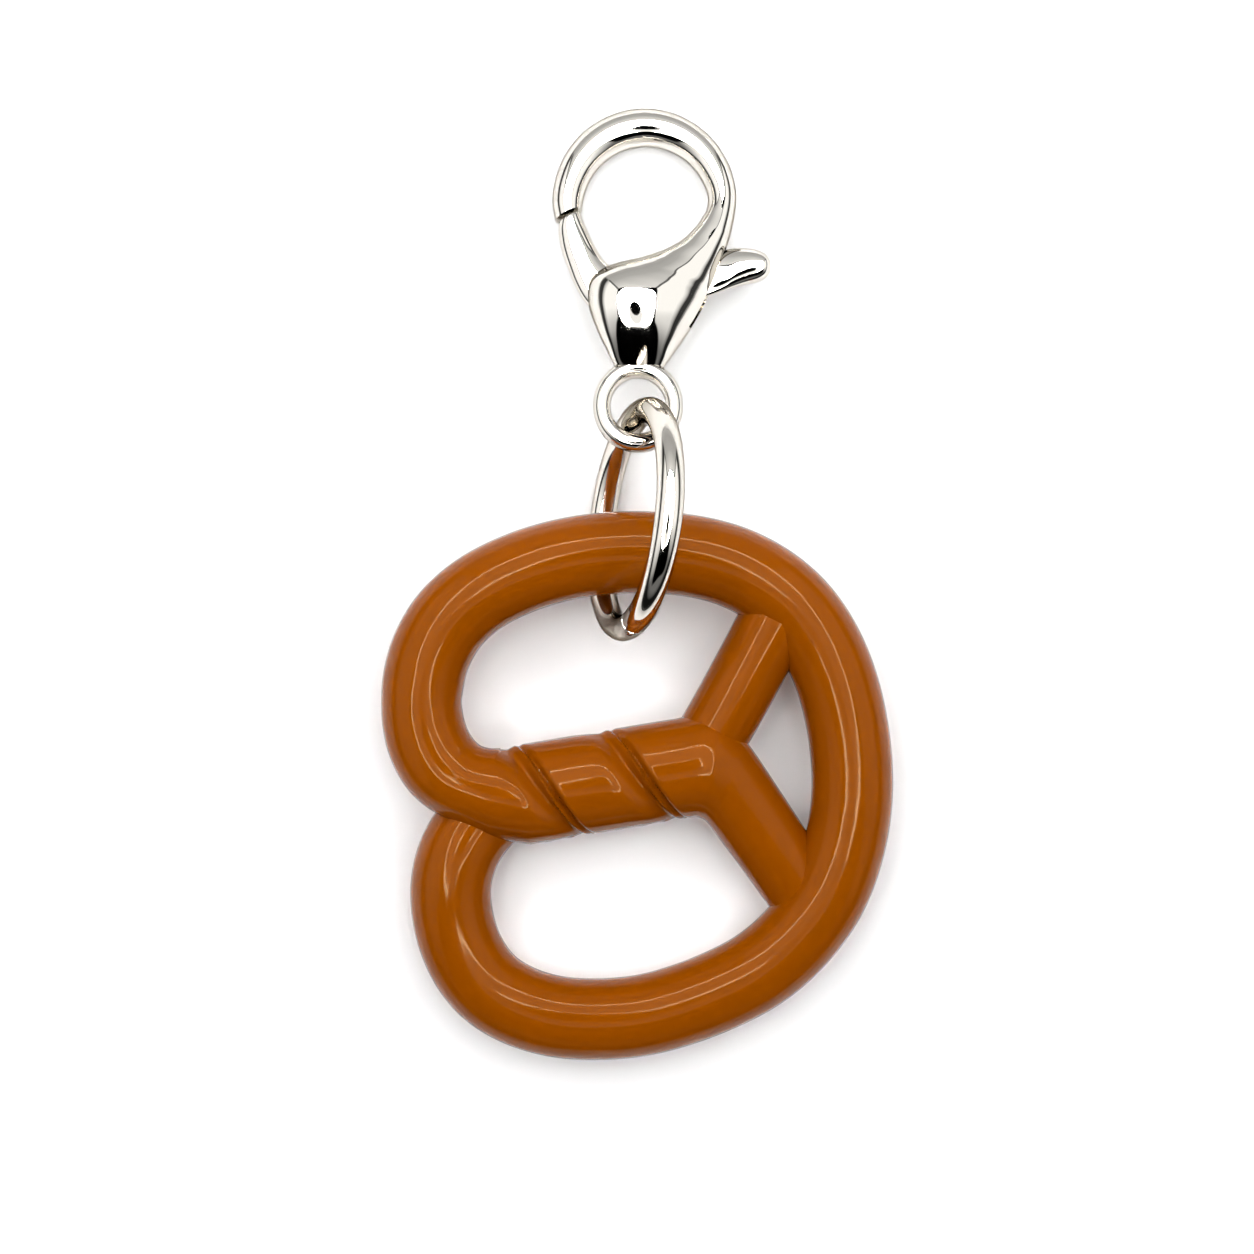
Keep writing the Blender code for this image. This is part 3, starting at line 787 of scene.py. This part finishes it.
class MakeStage(Operator):
    """Set the pale floor, the soft light tent and the camera over the charm."""
    bl_idname = "pretzel_charm.make_stage"
    bl_label = "Make Stage"

    def execute(self, context):
        settings = context.scene.stage_settings
        scene = context.scene
        scene.view_settings.view_transform = "Standard"
        self.lay_floor(settings)
        self.hang_cloths(scene, settings)
        self.hang_window(settings)
        self.place_camera(scene, settings)
        return {"FINISHED"}

    def lay_floor(self, settings):
        """White sweep paper, matt, so that it shows only soft shadows."""
        bm = bmesh.new()
        bmesh.ops.create_grid(bm, x_segments=2, y_segments=2, size=FLOOR_HALF)
        paper, _, shader = new_material("white_sweep_paper")
        shader.inputs["Base Color"].default_value = to_linear(settings.floor_colour)
        shader.inputs["Roughness"].default_value = 0.9
        add_object("floor", bm, paper)

    def hang_cloths(self, scene, settings):
        """A white tent that greys towards the table, darker in front, with a black card there."""
        world = bpy.data.worlds.new("light_tent")
        scene.world = world
        world.use_nodes = True
        tree = world.node_tree
        tree.nodes.clear()
        ray = add_node(tree, "ShaderNodeTexCoord").outputs["Generated"]
        parts = add_node(tree, "ShaderNodeSeparateXYZ", Vector=ray)
        cloths = []
        for stops in (BACK_CLOTH, SIDE_CLOTH):
            cloth = add_node(tree, "ShaderNodeValToRGB", Fac=parts.outputs["Z"])
            elements = cloth.color_ramp.elements
            while len(elements) < len(stops):
                elements.new(0.5)
            for element, (height, grey) in zip(elements, stops):
                element.position = height
                element.color = (grey, grey, grey, 1.0)
            cloths.append(cloth)
        across = add_node(tree, "ShaderNodeMath", {"operation": "ABSOLUTE"}, _0=parts.outputs["X"])
        turn = add_node(tree, "ShaderNodeMath", {"operation": "MULTIPLY_ADD"}, _0=parts.outputs["Y"],
                        _1=-CORNER_SLOPE, _2=across)
        side = add_node(tree, "ShaderNodeMapRange", Value=turn, From_Min=-CORNER_SOFT, From_Max=CORNER_SOFT)
        level = add_node(tree, "ShaderNodeMix", {"data_type": "RGBA"}, _0=side, _6=cloths[0], _7=cloths[1])
        # Dark seams where the cloths meet run down from the window's corners
        high = add_node(tree, "ShaderNodeMath", {"operation": "GREATER_THAN"}, _0=parts.outputs["Z"],
                        _1=CLOTH_SEAM_LOW)
        seam = add_node(tree, "ShaderNodeMath", {"operation": "MULTIPLY"},
                        _0=band(tree, turn, -CLOTH_SEAM_HALF, CLOTH_SEAM_HALF), _1=high)
        unseamed = add_node(tree, "ShaderNodeMath", {"operation": "MULTIPLY_ADD"}, _0=seam,
                            _1=-CLOTH_SEAM_DARK, _2=1.0)
        # The open front lets the room in, which is darker than the tent
        front = add_node(tree, "ShaderNodeMapRange", Value=parts.outputs["Y"], From_Min=FRONT_FROM,
                         From_Max=FRONT_TO, To_Min=1.0, To_Max=FRONT_SHARE)
        card = reach(tree, parts, CARD_AT, CARD_SIZE, CARD_POWER)
        off_card = add_node(tree, "ShaderNodeMapRange", Value=card, From_Min=1 - CARD_SOFT,
                            From_Max=1 + CARD_SOFT)
        share = 1.0
        for factor in (off_card, front, unseamed):
            share = add_node(tree, "ShaderNodeMath", {"operation": "MULTIPLY"}, _0=factor, _1=share)
        shown = add_node(tree, "ShaderNodeMix", {"data_type": "RGBA", "blend_type": "MULTIPLY"}, _0=1.0,
                         _6=level.outputs[2], _7=share)
        tent = add_node(tree, "ShaderNodeBackground", Color=shown.outputs[2], Strength=settings.sky)
        # The camera sees plain white past the floor's edge
        seen = add_node(tree, "ShaderNodeLightPath").outputs["Is Camera Ray"]
        plain = add_node(tree, "ShaderNodeBackground", Color=(1.0, 1.0, 1.0, 1.0), Strength=1.0)
        both = add_node(tree, "ShaderNodeMixShader", _0=seen, _1=tent, _2=plain)
        add_node(tree, "ShaderNodeOutputWorld", Surface=both)

    def hang_window(self, settings):
        """The lit window over the table, with tube lamps round its rim and the lens hole in it."""
        half_x = settings.window_half
        half_y = half_x * WINDOW_LONG
        bm = bmesh.new()
        made = bmesh.ops.create_circle(bm, segments=96, radius=1.0, cap_ends=True)["verts"]
        square_up(made, Matrix.Identity(4), SHEET_POWER)
        bmesh.ops.scale(bm, vec=(half_x * WINDOW_SPARE, half_y * WINDOW_SPARE, 1.0), verts=bm.verts)
        bmesh.ops.translate(bm, vec=(0.0, settings.window_y, settings.window_z), verts=bm.verts)
        bmesh.ops.reverse_faces(bm, faces=bm.faces)
        add_object("tent_window", bm, self.lit_cloth(settings, half_x, half_y))

    def lit_cloth(self, settings, half_x, half_y):
        """White cloth lit from behind: an even glow, bright lines at the lamps and black at the lens."""
        made, tree, _ = new_material("lit_window")
        place = add_node(tree, "ShaderNodeTexCoord").outputs["Object"]
        parts = add_node(tree, "ShaderNodeSeparateXYZ", Vector=place)
        rim = reach(tree, parts, (0.0, settings.window_y), (half_x, half_y), settings.window_square)
        hole_size = (settings.hole_x_radius, settings.hole_y_radius)
        hole = reach(tree, parts, (0.0, settings.hole_y), hole_size, 2.0)
        lens = reach(tree, parts, LENS_AT, (settings.lens_radius, settings.lens_radius * LENS_LONG), 2.0)
        rim_lamps = band(tree, rim, 1 - settings.lamp_width / half_x, 1.0)
        hole_lamps = band(tree, hole, 1.0, 1 + settings.lamp_width / settings.hole_x_radius)
        far_side = add_node(tree, "ShaderNodeMath", {"operation": "GREATER_THAN"}, _0=parts.outputs["Y"],
                            _1=settings.hole_y - LAMPS_NEAR)
        across = add_node(tree, "ShaderNodeMath", {"operation": "ABSOLUTE"}, _0=parts.outputs["X"])
        wide = add_node(tree, "ShaderNodeMath", {"operation": "GREATER_THAN"}, _0=across, _1=LAMPS_OFF_HALF)
        rim_on = add_node(tree, "ShaderNodeMath", {"operation": "MAXIMUM"}, _0=far_side, _1=wide)
        rim_lamps = add_node(tree, "ShaderNodeMath", {"operation": "MULTIPLY"}, _0=rim_lamps, _1=rim_on)
        hole_lamps = add_node(tree, "ShaderNodeMath", {"operation": "MULTIPLY"}, _0=hole_lamps, _1=far_side)
        lamps = add_node(tree, "ShaderNodeMath", {"operation": "MAXIMUM"}, _0=rim_lamps, _1=hole_lamps)
        lamps = add_node(tree, "ShaderNodeMath", {"operation": "MULTIPLY"}, _0=lamps, _1=settings.lamps)
        # The far lamps are stronger, because they are seen at a slant
        away = add_node(tree, "ShaderNodeMath", {"operation": "MAXIMUM"}, _0=parts.outputs["Y"], _1=0.0)
        gain = add_node(tree, "ShaderNodeMath", {"operation": "MULTIPLY_ADD"}, _0=away, _1=LAMPS_GAIN,
                        _2=1.0)
        lamps = add_node(tree, "ShaderNodeMath", {"operation": "MULTIPLY"}, _0=lamps, _1=gain)
        cloth = add_node(tree, "ShaderNodeMapRange", Value=hole, From_Min=1 - CLOTH_SOFT,
                         From_Max=1 + CLOTH_SOFT, To_Min=1.0, To_Max=settings.window)
        glow = add_node(tree, "ShaderNodeMath", {"operation": "MAXIMUM"}, _0=cloth, _1=lamps)
        inside = add_node(tree, "ShaderNodeMath", {"operation": "LESS_THAN"}, _0=rim, _1=1.0)
        off_lens = add_node(tree, "ShaderNodeMath", {"operation": "GREATER_THAN"}, _0=lens, _1=1.0)
        for factor in (inside, off_lens):
            glow = add_node(tree, "ShaderNodeMath", {"operation": "MULTIPLY"}, _0=factor, _1=glow)
        light = add_node(tree, "ShaderNodeEmission", Strength=glow)
        tree.links.new(light.outputs[0], tree.nodes["Material Output"].inputs["Surface"])
        return made

    def place_camera(self, scene, settings):
        """The camera, straight over the table."""
        view = bpy.data.cameras.new("camera")
        view.lens = settings.lens
        view.sensor_width = 36.0
        view.clip_start = 0.005
        camera = bpy.data.objects.new("camera", view)
        camera.location = (settings.camera_x, settings.camera_y, settings.camera_height)
        scene.collection.objects.link(camera)
        scene.camera = camera


class PretzelCharmPanel(Panel):
    """Buttons for each piece of the charm."""
    bl_idname = "VIEW3D_PT_pretzel_charm"
    bl_label = "Pretzel Charm"
    bl_space_type = "VIEW_3D"
    bl_region_type = "UI"
    bl_category = "Pretzel Charm"

    def draw(self, context):
        for made in STEPS:
            self.layout.operator(made.bl_idname)


STEPS = (MakePretzel, MakeRing, MakeClasp, MakeGate, MakeStage)
CLASSES = (PretzelSettings, RingSettings, ClaspSettings, StageSettings) + STEPS + (PretzelCharmPanel,)


def register():
    """Register the classes and hang their settings on the scene."""
    for made in CLASSES:
        bpy.utils.register_class(made)
    bpy.types.Scene.pretzel_settings = PointerProperty(type=PretzelSettings)
    bpy.types.Scene.ring_settings = PointerProperty(type=RingSettings)
    bpy.types.Scene.clasp_settings = PointerProperty(type=ClaspSettings)
    bpy.types.Scene.stage_settings = PointerProperty(type=StageSettings)


def unregister():
    """Take the settings and the classes away again."""
    for name in ("pretzel_settings", "ring_settings", "clasp_settings", "stage_settings"):
        delattr(bpy.types.Scene, name)
    for made in reversed(CLASSES):
        bpy.utils.unregister_class(made)


def main():
    """Make every piece and the stage."""
    register()
    bpy.ops.pretzel_charm.make_pretzel()
    bpy.ops.pretzel_charm.make_ring()
    bpy.ops.pretzel_charm.make_clasp()
    bpy.ops.pretzel_charm.make_gate()
    bpy.ops.pretzel_charm.make_stage()


if __name__ == "__main__":
    main()
